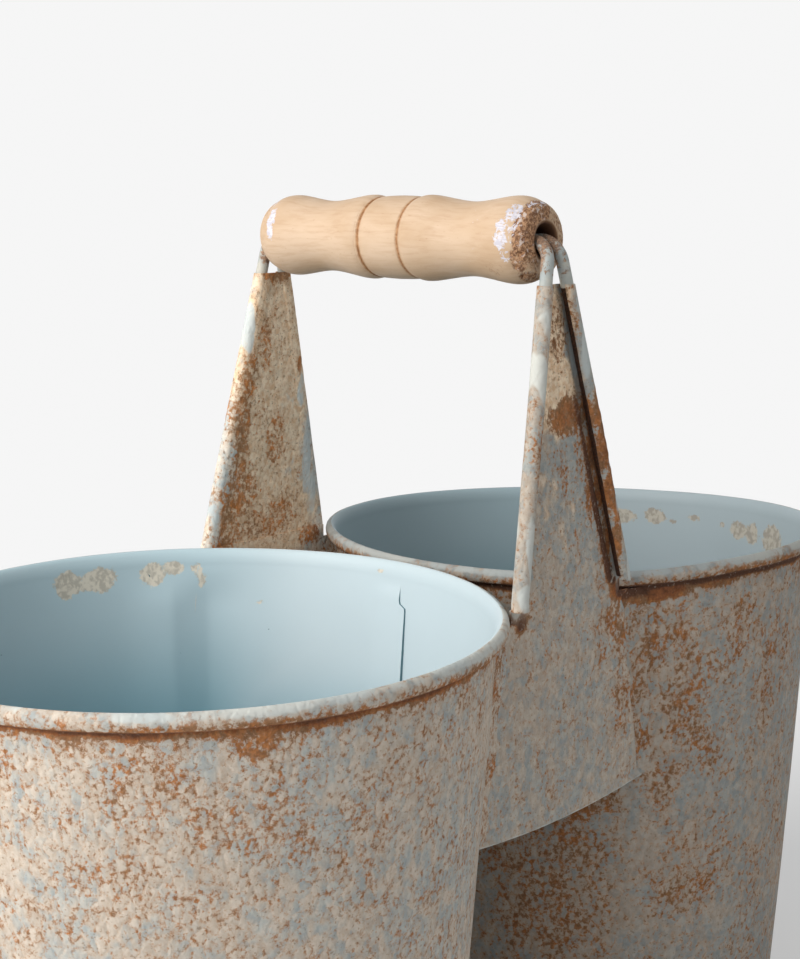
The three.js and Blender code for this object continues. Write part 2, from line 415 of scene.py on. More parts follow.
PAINT_BLUE = colour(160, 168, 169)
PAINT_PALE = colour(184, 185, 179)
PAINT_INSIDE = colour(183, 198, 204)
TAN = colour(184, 171, 156)
CREAM = colour(199, 189, 176)
STAIN = colour(180, 147, 116)
CRUST_LIGHT = colour(236, 218, 192)
CRUST_DARK = colour(216, 184, 150)
RUST = colour(139, 85, 40)
ORANGE_RUST = colour(170, 107, 54)
DARK_RUST = colour(74, 33, 11)
SOLID_RUST = colour(146, 74, 20)
DARK_SPECK = colour(118, 96, 74)
# Darker, more teal inside colour that paints shade low in the pots and on their shaded side
INSIDE_SHADE_COLOUR = colour(122, 164, 177)
WORN_PALE = colour(208, 198, 180)
WORN_DARK = colour(174, 164, 148)
INSIDE_PIT = colour(84, 104, 112)
SEAM_SHADE = colour(104, 134, 142)


def weathered_paint(name, shift, blue_share, rust_share, level, rust_tone_and_light, grain=1.0, inside_shade_level=1.0,
                    rust_depth=0.8, clean_tone_and_light=1.12):
    """Matt paint that has blistered into pale flakes, with rust in the gaps between them. The mesh's masks
    say how much rust, dark rust, crust and clean paint lies where, and what is a pot's inside; the dark mask
    also carries painted shade along a pot's lap and in a plate's groove, and one inside mask paints shade low
    in a pot and on its shaded side. The levels scale the colours; where one paint gets lower or higher
    levels, they paint shade or light onto it."""
    s = Shader(name, bump=0.55, bump_distance=0.3, Specular_IOR_Level=0.2)
    rust_mask, dark_mask, crust_mask = s.mask("rust"), s.mask("dark"), s.mask("crust")
    clean_mask, inside_mask, worn_mask = s.mask("clean"), s.mask("inside"), s.mask("worn")

    broad = s.noise(30, 2, 0.5, z=0.7, shift=shift)
    patches = s.noise(4.4 * grain, 2, 0.5, 0.4, z=0.7, shift=shift)
    tone = s.noise(1.7 * grain, 3, 0.5, 0.3, z=0.8, shift=shift + 11)
    fine = s.noise(0.6, 2, 0.5, shift=shift + 23)
    specks = s.noise(1.3 * grain, 5, 0.7, 0.2, z=0.95, shift=shift + 51)
    clusters = s.noise(8 * grain, 3, 0.6, 0.4, z=0.8, shift=shift + 37)
    flakes, flake_tint = s.flakes(2.7 * grain, 0.5, shift + 5)

    film = s.plus(patches, s.centred(broad, 0.6))
    film = s.plus(film, s.centred(flake_tint, 0.22))
    edge = 0.5 + (blue_share - 0.5) * 0.3
    light = s.step(tone, 0.3, 0.7)
    paint = s.mix(light, PAINT_BLUE, PAINT_PALE)
    tan = s.mix(light, TAN, CREAM)
    weathered = s.mix(s.step(film, edge - 0.15, edge + 0.15), paint, tan)
    # Painted light and shade: the level darkens or lightens the whole film, so the far pot's paint is a
    # shaded copy and the back plate's partly a lit one.
    weathered = s.shade(weathered, level)
    crust = s.plus(crust_mask, s.centred(patches, 0.8))
    crust_share = s.step(crust, 0.3, 0.7)
    crumbs = s.plus(s.scaled(tone, 0.6), s.scaled(specks, 0.4))
    weathered = s.mix(crust_share, weathered, s.mix(s.step(crumbs, 0.38, 0.58), CRUST_DARK, CRUST_LIGHT))
    weathered = s.shade(weathered, s.blend(s.step(flake_tint, 0.15, 0.85), 0.93, 1.05))
    weathered = s.shade(weathered, s.blend(s.step(fine, 0.3, 0.7), 0.97, 1.03))

    whole = s.scaled(clean_mask, -0.9, 1.0)
    wanted_share = 0.16 * (rust_share - 0.5)
    reach = s.plus(s.scaled(clusters, 0.42, -0.21 + wanted_share), s.scaled(rust_mask, 0.38))
    line = s.step(s.plus(flakes, s.centred(fine, 0.1)), 0.13, 0.02)
    broken = s.step(s.plus(reach, specks), 0.44, 0.62)
    gap = s.times(line, broken)
    gap = s.times(gap, s.scaled(crust_share, -0.42, 0.48))
    weathered = s.mix(s.times(gap, whole), weathered, s.mix(tone, RUST, STAIN))
    pits = s.step(s.noise(0.9, 2, 0.5, shift=shift + 66), 0.61, 0.7)
    weathered = s.mix(s.times(s.times(pits, 0.55), whole), weathered, DARK_SPECK)
    beside_edge = s.step(flakes, 0.34, 0.0)
    wanted = s.plus(s.plus(specks, reach), s.scaled(beside_edge, 0.09, -0.04))
    halo = s.times(s.step(wanted, 0.48, 0.76), whole)
    weathered = s.mix(s.times(halo, 0.5), weathered, STAIN)
    solid = s.step(s.plus(rust_mask, s.centred(specks, 1.6)), 0.92, 1.15)
    speck_share = s.times(s.math("MAXIMUM", s.step(wanted, 0.57, 0.74), solid), whole)
    rust = s.mix(s.step(tone, 0.4, 0.62), RUST, ORANGE_RUST)
    dull = s.times(s.step(patches, 0.42, 0.6), s.scaled(solid, -0.6, 0.6))
    rust = s.mix(dull, rust, DARK_SPECK)
    rust = s.mix(s.scaled(solid, 0.6), rust, SOLID_RUST)
    depth = s.plus(s.scaled(wanted, rust_depth, -0.5 * rust_depth), dark_mask)
    rust = s.mix(s.step(depth, 0.35, 1.05), rust, DARK_RUST)
    rust = s.shade(rust, s.blend(s.step(fine, 0.3, 0.7), 0.8 * rust_tone_and_light, 1.18 * rust_tone_and_light))
    weathered = s.mix(s.times(speck_share, 0.88), weathered, rust)
    pale_specks = s.step(s.noise(0.9, 3, 0.6, shift=shift + 90), 0.58, 0.66)
    pale_specks = s.times(pale_specks, s.times(dark_mask, 0.28))
    weathered = s.mix(pale_specks, weathered, CREAM)

    clean_share = s.step(s.plus(clean_mask, s.centred(patches, 0.8)), 0.4, 0.65)
    clean_paint = s.shade(s.mix(s.step(broad, 0.3, 0.7), PAINT_BLUE, PAINT_PALE), clean_tone_and_light)
    outside = s.mix(s.times(clean_share, s.math("SUBTRACT", 1.0, speck_share)), weathered, clean_paint)

    film_edge = s.plus(s.times(worn_mask, 1.2), s.centred(specks, 1.6))
    film_edge = s.plus(film_edge, s.centred(patches, 0.9))
    worn_share = s.step(film_edge, 0.42, 0.66)
    worn_paint = s.mix(s.step(tone, 0.4, 0.6), WORN_DARK, WORN_PALE)
    # Painted shade: the inside turns darker and more teal low in a pot and on the inner side that the key
    # light leaves in shade.
    inner = s.mix(s.mask("shade_inside_pot"), PAINT_INSIDE, INSIDE_SHADE_COLOUR)
    inner = s.shade(inner, s.blend(s.noise(26, 3, 0.5), 0.96, 1.04))
    inner = s.mix(s.times(worn_share, 0.85), inner, worn_paint)
    marks = s.noise(2.4, 2, 0.5, shift=shift + 71)
    inner = s.mix(s.step(marks, 0.77, 0.8), inner, INSIDE_PIT)
    # Painted shade along the lap's free edge, where it stands off the wall.
    inner = s.mix(dark_mask, inner, SEAM_SHADE)
    inner = s.shade(inner, inside_shade_level)
    surface = s.mix(inside_mask, outside, inner)

    outer_height = s.plus(s.scaled(s.step(flakes, 0.02, 0.3), 0.5), s.scaled(fine, 0.08))
    outer_height = s.plus(outer_height, s.scaled(tone, 0.35))
    outer_height = s.plus(outer_height, s.times(speck_share, s.scaled(specks, 0.8)))
    inner_height = s.plus(s.scaled(s.noise(5, 3, 0.5), 0.08), s.times(worn_share, s.scaled(tone, 0.4)))
    height = s.blend(inside_mask, outer_height, inner_height)
    outer_roughness = s.blend(speck_share, 0.78, 0.95)
    inner_roughness = s.blend(worn_share, 0.45, 0.8)
    return s.finish(surface, s.blend(inside_mask, outer_roughness, inner_roughness), height)


WOOD = colour(196, 173, 149)
WOOD_BROAD = colour(184, 158, 130)
WOOD_GRAIN = colour(168, 136, 106)
WOOD_FLECK = colour(152, 112, 78)
BURNT_LIGHT = colour(164, 118, 74)
BURNT_DARK = colour(132, 90, 54)
BORE_SHADE_BROWN = colour(74, 50, 34)
SOIL_LIGHT = colour(178, 138, 104)
SOIL_DARK = colour(98, 62, 42)
SOIL_CRUMB = colour(206, 194, 188)
GRIP_PAINT_DARK = colour(186, 184, 194)
GRIP_PAINT_LIGHT = colour(206, 203, 209)
WIRE_BLUE = colour(150, 158, 158)
WIRE_PALE = colour(182, 180, 170)
RUBBED_LIGHT = colour(150, 120, 96)
RUBBED_DARK = colour(112, 90, 76)
ROLL_SHADE_DARK = colour(34, 20, 14)
ROLL_SHADE_LIGHT = colour(74, 44, 28)
STEEL = colour(150, 150, 148)
STEEL_RUST = colour(120, 92, 70)


def wood(name):
    """Pale turned wood, with grain along Y, burnt grooves, paint left at the ends and painted shade inside
    the bore.
    """
    s = Shader(name, bump=0.4, bump_distance=0.3, Specular_IOR_Level=0.2)
    grain = s.noise(1.1, 4, 0.6, 0.25, y=0.09)
    broad = s.noise(9, 3, 0.5, 0.4, y=0.5, shift=5)
    flecks = s.noise(0.5, 2, 0.5, y=0.3, shift=9)
    crust = s.noise(1.2, 5, 0.7, 0.6, shift=17)
    crumbs = s.noise(0.7, 4, 0.65, 0.4, shift=31)
    pale = s.noise(1.6, 4, 0.6, 0.5, shift=43)
    surface = s.mix(s.step(broad, 0.3, 0.72), WOOD, WOOD_BROAD)
    surface = s.mix(s.scaled(s.step(grain, 0.42, 0.75), 0.4), surface, WOOD_GRAIN)
    surface = s.mix(s.scaled(s.step(flecks, 0.68, 0.76), 0.3), surface, WOOD_FLECK)

    burnt = s.step(s.plus(s.mask("burnt"), s.centred(crust, 0.6)), 0.15, 0.95)
    surface = s.mix(burnt, surface, s.mix(s.step(crust, 0.4, 0.6), BURNT_LIGHT, BURNT_DARK))
    # Painted shade: the inside of the bore is dark brown
    surface = s.mix(s.mask("bore"), surface, BORE_SHADE_BROWN)
    soiled = s.step(s.plus(s.mask("soiled"), s.centred(crust, 1.1)), 0.35, 0.65)
    soil = s.mix(s.step(crumbs, 0.38, 0.6), SOIL_LIGHT, SOIL_DARK)
    soil = s.mix(s.scaled(s.step(pale, 0.56, 0.64), 0.8), soil, SOIL_CRUMB)
    surface = s.mix(s.scaled(soiled, 0.9), surface, soil)
    painted = s.step(s.plus(s.mask("painted"), s.centred(crust, 2.4)), 0.46, 0.56)
    surface = s.mix(painted, surface, s.mix(s.step(flecks, 0.4, 0.6), GRIP_PAINT_DARK, GRIP_PAINT_LIGHT))

    height = s.plus(s.scaled(grain, 0.12), s.scaled(painted, 0.4))
    height = s.plus(height, s.times(soiled, s.plus(crust, s.scaled(crumbs, 0.8))))
    roughness = s.blend(painted, s.blend(soiled, 0.58, 0.9), 0.5)
    return s.finish(surface, roughness, height)


def painted_wire(name):
    """Bail wire: old blue-grey paint, rubbed brown where it leaves the bore, and near-black where it runs
    inside the plates' rolls, which is dark rust and painted shade.
    """
    s = Shader(name, bump=0.4, bump_distance=0.2, Specular_IOR_Level=0.35)
    chips = s.noise(1.6, 5, 0.65, 0.5)
    fine = s.noise(0.5, 3, 0.6)
    paint = s.mix(s.step(s.noise(6, 3, 0.5), 0.35, 0.65), WIRE_BLUE, WIRE_PALE)
    paint = s.shade(paint, s.blend(fine, 0.92, 1.05))
    rubbed = s.step(s.plus(chips, s.times(s.mask("rust"), 0.5)), 0.57, 0.72)
    surface = s.mix(rubbed, paint, s.mix(s.step(fine, 0.4, 0.6), RUBBED_LIGHT, RUBBED_DARK))
    rust_and_shade_in_roll = s.step(s.plus(s.mask("rust_and_shade_in_roll"), s.centred(chips, 0.4)), 0.4, 0.6)
    surface = s.mix(rust_and_shade_in_roll, surface, s.mix(s.step(fine, 0.4, 0.65), ROLL_SHADE_DARK, ROLL_SHADE_LIGHT))
    return s.finish(surface, s.blend(rubbed, 0.5, 0.8), s.plus(s.times(chips, 0.5), fine))


def bare_steel(name):
    s = Shader(name, bump=0.2, bump_distance=0.1, Metallic=0.9)
    streaks = s.noise(0.8, 3, 0.6)
    surface = s.mix(s.step(streaks, 0.45, 0.7), STEEL, STEEL_RUST)
    return s.finish(surface, s.blend(streaks, 0.35, 0.6), streaks)


# Pots


def pot_profile():
    """Closed outline of the wall and which of its points lie on the inside."""
    half_width, half_height = BEAD_WIDTH / 2, BEAD_HEIGHT / 2
    fine_from = BEAD_BOTTOM - 14
    slot_edge = half_width - POT_SHEET - CURL_SLOT
    curl_end = -180 + math.degrees(math.acos(slot_edge / half_width))
    outer_bend = FOOT_BEND + POT_SHEET
    foot = (wall_outer(outer_bend) - outer_bend, outer_bend)
    lip = wall_outer(0) - FOOT_LIP
    flare_low = BEAD_BOTTOM - 0.4
    flare_top = BEAD_CENTRE[0] + 0.1
    high_heights = np.linspace(fine_from, BEAD_CENTRE[1] - 1.4, 26)
    heights = np.concatenate([np.linspace(outer_bend, fine_from, 40), high_heights[1:]])
    curl = arc(BEAD_CENTRE, half_width - POT_SHEET, half_height - POT_SHEET, 180, curl_end, 20)
    outside_wall = np.stack([[wall_outer(z) for z in heights], heights], 1)
    bead = arc(BEAD_CENTRE, half_width, half_height, curl_end, 90, 26)
    flare_width = flare_top - wall_inner(flare_low)
    lip_arc = arc((flare_top, flare_low), flare_width, POT_HEIGHT - flare_low, 90, 180, 14)
    inner_heights = flare_low - (flare_low - outer_bend) * np.linspace(0, 1, 90)[1:] ** 1.35
    inside_wall = np.stack([[wall_inner(z) for z in inner_heights], inner_heights], 1)
    inner_foot = arc(foot, FOOT_BEND, FOOT_BEND, 0, -90, 4)
    outline = [
        [(lip, 0)],
        arc(foot, outer_bend, outer_bend, -90, 0, 5),
        outside_wall[1:],
        curl,
        bead,
        lip_arc[1:],
        inside_wall,
        inner_foot[1:],
        [(lip, POT_SHEET)],
    ]
    inside = np.concatenate([np.full(len(part), float(i >= 5)) for i, part in enumerate(outline)])
    return np.concatenate([np.asarray(part, float) for part in outline]), inside


# Angle of a pot's soldered lap and how its free edge runs: it steps sideways at a nick near the rim
LAP_ANGLE = -1.8
LAP_NICK_HEIGHT = 142.9
LAP_NICK_STEP = -1.8
LAP_WIDTH = 11.0
LAP_LIFT_TOP = 0.4
LAP_LIFT_LOW = 0.8

# Dent in the near pot: the wall is pushed in on one side of a sharp upright crease
DENT_CREASE = 45.4
DENT_RIDGE = 53.0
DENT_DEPTH = 1.0


def lap_lift(angle, z):
    """How far the lapped sheet stands in from the wall, at angles in degrees from the free edge."""
    along = np.radians(angle) * wall_inner(POT_HEIGHT)
    lift = LAP_LIFT_LOW + (LAP_LIFT_TOP - LAP_LIFT_LOW) * smooth(122, 148, z)
    ramp = np.where(along < 0, 0, 1 - smooth(LAP_WIDTH * 0.4, LAP_WIDTH, along))
    return lift * ramp * (1 - smooth(BEAD_BOTTOM - 5.5, BEAD_BOTTOM - 1.5, z))


def dent(angle, z):
    """Radial shift of the near pot's wall at its crease."""
    across = (DENT_RIDGE - angle) / (DENT_RIDGE - DENT_CREASE)
    ramp = np.where(across < 0, -1 + smooth(0, 1.6, -across), -1 + 2 * np.clip(across, 0, 1))
    ramp = np.where(across > 1, 1 - smooth(1, 2.6, across), ramp)
    return DENT_DEPTH * ramp * (1 - smooth(138, 149, z))


# Marks on the pots: angle in degrees, height, half width and half height in millimetres, strength
NEAR_INSIDE_WEAR = [
    (76.0, 147.4, 5.6, 4.6, 0.85), (69.0, 147.8, 6.0, 4.4, 0.85), (57.2, 148.0, 4.4, 4.2, 0.75),
    (52.6, 149.4, 3.8, 2.6, 0.75), (47.4, 149.0, 2.4, 2.4, 0.7), (46.6, 145.6, 1.6, 3.2, 0.7),
    (33.4, 139.2, 1.5, 0.9, 0.8), (4.1, 151.7, 1.4, 0.8, 0.7), (26.0, 134.6, 3.0, 0.6, 0.5),
]
FAR_INSIDE_WEAR = [
    (24.0, 145.0, 9.0, 3.4, 0.75), (13.5, 145.6, 5.4, 3.4, 0.75), (8.0, 144.2, 2.0, 1.2, 0.6),
    (1.5, 146.0, 3.6, 1.6, 0.65), (-7.5, 144.8, 2.0, 1.6, 0.65), (-13.6, 143.8, 5.0, 3.8, 0.75),
    (-19.0, 143.2, 4.2, 4.6, 0.75), (-28.0, 142.6, 8.0, 6.4, 0.72), (43.0, 147.0, 1.6, 1.4, 0.55),
]
NEAR_OUTSIDE_RUST = [
    (-121, 146.5, 6.5, 5.0, 0.55), (-139, 138, 16, 9, 0.2), (-128, 131, 12, 8, 0.17),
    (-116, 126, 16, 9, 0.14), (-144, 116, 14, 9, 0.16), (-104, 118, 12, 10, 0.1),
]
# The low marks from -143 to -150 degrees also darken the far pot's wall in the gap under the front plate:
# rust and painted shade
FAR_OUTSIDE_RUST_AND_SHADE = [
    (-128, 148.0, 14, 3.2, 1.4), (-112, 148.8, 9, 2.4, 1.0), (-126, 134, 12, 13, 0.29),
    (-118, 118, 11, 16, 0.27), (-104, 134, 10, 11, 0.25), (-112, 100, 9, 9, 0.25), (-143, 86, 14, 4, 0.6),
    (-150, 88, 10, 4, 0.5), (-124, 92, 8, 9, 0.3), (-92, 120, 14, 20, 0.16), (-150, 60, 24, 34, 0.3),
    (-112, 60, 18, 16, 0.2),
]


def bent(angle, z):
    """How far the right pot's mouth is pushed in and down, at angles in degrees round its axis."""
    turn = np.radians(angle)
    free = smooth(30, 75, np.abs((np.asarray(angle) + 360) % 360 - 180))
    away, beside = 1 + np.cos(turn), np.sin(turn)
    inward = 1.2 * away - 0.6 * beside + 0.54 * (1 - np.cos(2 * turn)) - 0.09 * np.sin(2 * turn)
    down = 1.75 * away + 1.78 * beside - 0.63 * (1 - np.cos(2 * turn)) + 0.63 * np.sin(2 * turn)
    return inward * free * np.clip(z / POT_HEIGHT, 0, 1) ** 1.5, down * free * smooth(40, POT_HEIGHT, z)


def make_rim_wire(side, x, bent_mouth):
    """The wire inside a rolled rim."""
    radius = BEAD_WIDTH / 2 - POT_SHEET - ROD_CLEARANCE
    points, faces = turned(arc(BEAD_CENTRE, radius, radius, 0, 330, 11), full_turn(180))
    spread, z = np.hypot(points[:, 0], points[:, 1]), points[:, 2]
    turn = np.arctan2(points[:, 1], points[:, 0])
    if bent_mouth:
        inward, down = bent(np.degrees(turn), np.full(len(z), BEAD_CENTRE[1]))
        spread, z = spread - inward, z - down
    shaped = np.stack([spread * np.cos(turn) + x, spread * np.sin(turn), z - ROD_DROP], 1)
    return add_mesh(f"{side}_rim_rod", shaped, faces, [f"{side}_rim_wire"])


def on_rim(marks):
    """Marks with their angles turned into places along the rim."""
    return [(math.radians(angle) * RIM_RADIUS, *rest) for angle, *rest in marks]


def make_pot(side, x, wear, rust_marks, lap_angle, rim_dark, seed, near=False, plate_angle=None):
    """One pot's wall, with its rolled rim, soldered lap and marks. The near pot is dented, the
    other one's mouth is bent; plate_angle is where the near pot meets the front plate."""
    profile, inside = pot_profile()
    beside_edge = np.array([0.015, 0.08, 0.25, 0.6, 1.2])
    lap_edge = np.radians(lap_angle + np.concatenate([-beside_edge, beside_edge]))
    even = full_turn(400)
    even = even[np.abs((even - math.radians(lap_angle) + math.pi) % math.tau - math.pi) > math.radians(1.4)]
    angles = np.sort(np.concatenate([even, lap_edge % math.tau]))
    points, faces = turned(profile, angles)
    degrees = (np.degrees(np.repeat(angles, len(profile))) + 180) % 360 - 180
    z, inner = points[:, 2].copy(), np.tile(inside, len(angles))

    beside_lap = (degrees - lap_angle + 180) % 360 - 180
    nick = LAP_NICK_STEP * (1 - smooth(LAP_NICK_HEIGHT - 0.8, LAP_NICK_HEIGHT + 0.8, z))
    shifted = degrees + nick * hump(beside_lap, 4)
    radius = np.hypot(points[:, 0], points[:, 1])
    even_wall = radius - 0.18 + 0.16 * noise(points, 70, seed) + 0.05 * noise(points, 18, seed + 1)
    above_foot = smooth(3, 12, z)
    radius = radius + (even_wall - radius) * above_foot
    bead = smooth(BEAD_BOTTOM - 0.6, BEAD_BOTTOM + 0.8, z) * (1 - inner)
    radius -= bead * (0.08 + 0.1 * rough_noise(points, 5, seed + 2))
    radius -= inner * lap_lift(beside_lap, z) * above_foot
    turn = np.radians(shifted)
    lowered = smooth(BEAD_BOTTOM - 3, POT_HEIGHT, z) * (0.22 + 0.2 * noise(points, 45, seed + 3))
    if near:
        radius += dent(degrees, z) * above_foot
    else:
        inward, down = bent(degrees, z)
        radius, lowered = radius - inward, lowered + down
    shaped = np.stack([radius * np.cos(turn) + x, radius * np.sin(turn), z - lowered], 1)

    arc_place = degrees * math.radians(1) * RIM_RADIUS
    uneven = rough_noise(points, 9, seed + 4)
    below = np.maximum(BEAD_BOTTOM - z, 0)
    under = z < BEAD_BOTTOM + 0.4
    band = 1.3 * (1 - smooth(0.8 + 0.9 * uneven, 2.6 + 1.4 * uneven, below)) + 0.6 * np.exp(-below / 2.6)
    tongues = smooth(0.3, 0.9, noise(points * [1, 1, 0.3], 8, seed + 7)) * hump(below, 5.5) * 0.8
    strength = np.clip(0.95 + 0.5 * noise(points, 17, seed + 8), 0.6, 1.2)
    rim_rust = np.maximum(band, tongues) * under * strength
    underside = hump(z - BEAD_BOTTOM + 0.1, 0.8)
    on_bead = smooth(BEAD_BOTTOM - 0.2, BEAD_BOTTOM + 0.4, z)
    on_bead *= 1 - smooth(BEAD_BOTTOM + 1.0, POT_HEIGHT - 1.2, z)
    marked = blotches(arc_place, z, on_rim(rust_marks))
    rust = np.maximum.reduce([rim_rust, 1.2 * underside * strength, on_bead * (0.42 + 0.4 * uneven), marked])
    # Painted shade on the step at the lap's free edge, below the rim
    lap_shade = (np.abs(beside_lap) < 0.04) * (1 - smooth(BEAD_BOTTOM - 6, BEAD_BOTTOM - 3, z))
    beside_plate = np.zeros(len(z))
    if plate_angle is not None:
        beside_plate = hump(np.abs(degrees - plate_angle) - 4, 8) * (z < BEAD_BOTTOM)
    # Painted shade inside the pot, strongest low down and on the inner side away from the key light
    shaded_side = smooth(20, 50, degrees) * (1 - smooth(120, 165, degrees))
    masks = {
        "inside": inner,
        "worn": blotches(arc_place, z, on_rim(wear)) * inner,
        "rust": (np.clip(rust, 0, 1.7) - 0.25 * beside_plate) * (1 - inner),
        "dark": np.where(inner > 0, lap_shade, rim_dark * np.clip(underside * strength + 0.35 * rim_rust, 0, 1)),
        "clean": smooth(BEAD_BOTTOM + 1.2, POT_HEIGHT - 0.8, z) * (0.62 + 0.5 * uneven) * (1 - inner),
        "crust": 0.3 * beside_plate * (1 - inner),
        "shade_inside_pot": np.maximum(smooth(128, 86, z), (0.3 + 0.7 * smooth(140, 92, z)) * shaded_side) * inner,
    }
    name = f"{side}_pot_wall"
    return add_mesh(f"{side}_pot_sheet", shaped, faces, [name], masks, sharp=50)


def make_base(side, x, seed):
    """Dished base of a pot: a flat floor, a soft corner and a flange turned up along the wall."""
    low = POT_SHEET + SEAT_GAP
    high = low + BASE_FLANGE
    corner = FOOT_BEND + POT_SHEET
    edge = wall_inner(low) - SEAT_GAP
    centre = (edge - corner, low + corner)
    flange = wall_inner(high) - SEAT_GAP
    floor_places = [0.01, *np.linspace(8, edge - corner - 1, 14)]
    outline = np.concatenate([
        [(r, low) for r in floor_places],
        arc(centre, corner, corner, -90, 0, 6),
        [(flange, high), (flange - POT_SHEET, high)],
        arc(centre, corner - POT_SHEET, corner - POT_SHEET, 0, -90, 6),
        [(r, low + POT_SHEET) for r in reversed(floor_places)],
    ])
    points, faces = turned(outline, full_turn(160))
    floor = 1 - smooth(edge - 14, edge - 6, np.hypot(points[:, 0], points[:, 1]))
    points[:, 2] += floor * (0.25 + 0.2 * noise(points, 25, seed))
    spread = np.hypot(points[:, 0], points[:, 1])
    masks = {"inside": np.ones(len(points)), "worn": 0.55 * smooth(edge - 6, edge, spread)}
    points[:, 0] += x
    name = f"{side}_pot_base"
    return add_mesh(f"{side}_base_dish", points, faces, [name], masks)


# Side plates

# Marks on the plates: sideways place, height, half width and half height in millimetres, strength
FRONT_RUST = [
    (5, 200, 7, 6, 0.95), (-1, 199.5, 6, 3.6, 0.6), (-0.2, 219.2, 1.1, 1.7, 0.9),
    (-19.4, 149.8, 2.6, 3.2, 1.4), (-13.5, 188, 2.6, 10, 0.42), (-11.5, 199, 1.6, 3, 0.3),
    (8.0, 190, 2.2, 9, 0.4), (11.5, 178, 2.0, 9, 0.5), (4.9, 165.9, 1.4, 5, 0.35), (0.9, 184.4, 2, 4, 0.3),
    (12.6, 202, 3.0, 6, 0.95), (14.8, 192, 3.4, 9, 1.0), (17.0, 181, 3.2, 8, 0.95),
    (18.6, 168, 1.6, 13, 0.8), (-22, 152.5, 4, 3, 1.2), (24, 151, 5, 4, 1.4), (22, 142, 5, 7, 0.5),
    (8.2, 231, 2.0, 3.5, 0.4), (17, 138, 6, 12, 0.2), (26, 128, 4, 24, 0.4), (0, 223, 7, 14, 0.26),
]
FRONT_CLEAN = [
    (-18.2, 165, 3.0, 15, 0.85), (-21.5, 156, 3, 6, 0.85), (-10.2, 211, 2.4, 9, 0.75),
    (-7.0, 225, 2.6, 9, 0.45), (8.6, 219, 2.2, 11, 0.8), (6.4, 231, 1.8, 6, 0.6),
    (22.6, 163, 1.2, 12, 0.95), (18.8, 176, 0.9, 4, 0.7),
]
FRONT_DARK = [
    (-22, 152.5, 4, 3, 1.0), (-19.4, 150.2, 2.2, 2.6, 1.0), (20.5, 155.5, 3, 3, 1.0),
    (-0.2, 219.2, 1.0, 1.6, 0.4), (24.5, 151, 3, 3, 0.8), (7.0, 202, 2.4, 6, 0.3), (14.8, 190, 3, 16, 0.3),
]
FRONT_CRUST = [
    (0, 224, 5.6, 15, 0.95), (0.5, 209, 8.4, 9, 0.95), (0, 200, 9, 7, 0.6), (-1, 178, 15, 22, 0.34),
]
BACK_RUST = [
    (-9.5, 204, 3.4, 8, 0.5), (-12.4, 192, 3.8, 9, 0.52), (-12.0, 180, 3.4, 10, 0.42),
    (-4, 214, 3, 8, 0.36), (-12, 168, 9, 10, 0.44), (-16, 158, 6, 7, 0.4), (0, 160, 12, 8, 0.4),
    (2, 184, 4, 10, 0.32), (17, 152, 6, 4, 0.62), (0, 234, 7, 3, 0.6), (10.7, 206, 1.2, 3, 1.1),
    (-20, 152, 5, 4, 0.7),
]
BACK_CLEAN = [
    (-10.2, 221, 2.2, 12, 0.95), (15.0, 178, 2.4, 18, 0.62), (17.6, 164, 2.6, 10, 0.62),
    (11.6, 198, 2.0, 8, 0.62), (-21.5, 163, 1.6, 6, 0.6), (6, 194, 4, 6, 0.42), (8, 174, 4, 6, 0.42),
]
BACK_DARK = [
    (22, 153, 4, 4, 0.5), (-20, 152, 5, 3, 0.2), (2, 233, 6, 2, 0.2),
]
BACK_CRUST = [
    (0, 190, 17, 60, 0.9), (0, 160, 24, 16, 0.95), (0, 226, 9, 14, 0.95),
]


def plate_ring(z, seed):
    """Closed outline of the rolled side plate at height z, in sideways place and depth."""
    reach, depth = leg_place(z)
    lip_step = 4 * noise([[0, 0, z]], 9, seed)[0]
    lip = TIGHT_WRAP - 90 + lip_step
    swell = 1 + 0.02 * noise([[50, 0, z]], 14, seed)[0]
    tight_outer, tight_inner = TIGHT_OUTER * swell, TIGHT_INNER * swell
    outer = arc((reach, depth), tight_outer, tight_outer, -90, lip, 26)
    inner = arc((reach, depth), tight_inner, tight_inner, lip, -90, 26)
    lip_angle = math.radians(lip)
    middle = (tight_outer + tight_inner) / 2
    lip_end = (reach + middle * math.cos(lip_angle), depth + middle * math.sin(lip_angle))
    rounding = arc(lip_end, PLATE_SHEET / 2, PLATE_SHEET / 2, lip, lip + 180, 4)[1:-1]
    groove = reach - GROOVE_EDGE
    steps = [-reach, -groove - 0.3, -groove, groove, groove + 0.3, reach]
    web = np.interp(np.linspace(0, 5, 52), [0, 0.45, 0.55, 4.45, 4.55, 5], steps)[1:-1]
    step_in = GROOVE_STEP * smooth(groove, groove + 0.3, np.abs(web))
    inner_face = depth - tight_outer
    near = np.stack([web, inner_face - step_in * 0.6], 1)
    far = np.stack([web, inner_face + PLATE_SHEET - step_in], 1)[::-1]
    right = np.concatenate([outer, rounding, inner])
    left = right[::-1] * np.array([-1, 1])
    return np.concatenate([near, right, far, left])


def lower_web():
    """Closed rings of the plate below the rims, from its bellied bottom edge up to the rolls."""
    bead_edge = valley_half_width(RIM_RADIUS + SEAT_GAP, web_inner(ROLL_BOTTOM))
    under_bead = BEAD_BOTTOM - SEAT_GAP
    heights = [*np.linspace(PLATE_BOTTOM, under_bead, 60), under_bead + 0.02]
    heights += [*np.linspace(under_bead + 0.6, ROLL_BOTTOM, 5)]
    u = np.linspace(-1, 1, 72)
    rings = []
    for z in heights:
        wall_edge = valley_half_width(wall_outer(z) - 0.4, web_inner(ROLL_BOTTOM))
        half = wall_edge if z <= under_bead else bead_edge
        drop = PLATE_BELLY * (1 - u**2) * (ROLL_BOTTOM - z) / (ROLL_BOTTOM - PLATE_BOTTOM)
        near = np.stack([u * half, np.full(len(u), web_inner(ROLL_BOTTOM)), z - drop], 1)
        far = near[::-1] + np.array([0, PLATE_SHEET, 0])
        rings.append(np.concatenate([near, far]))
    return rings


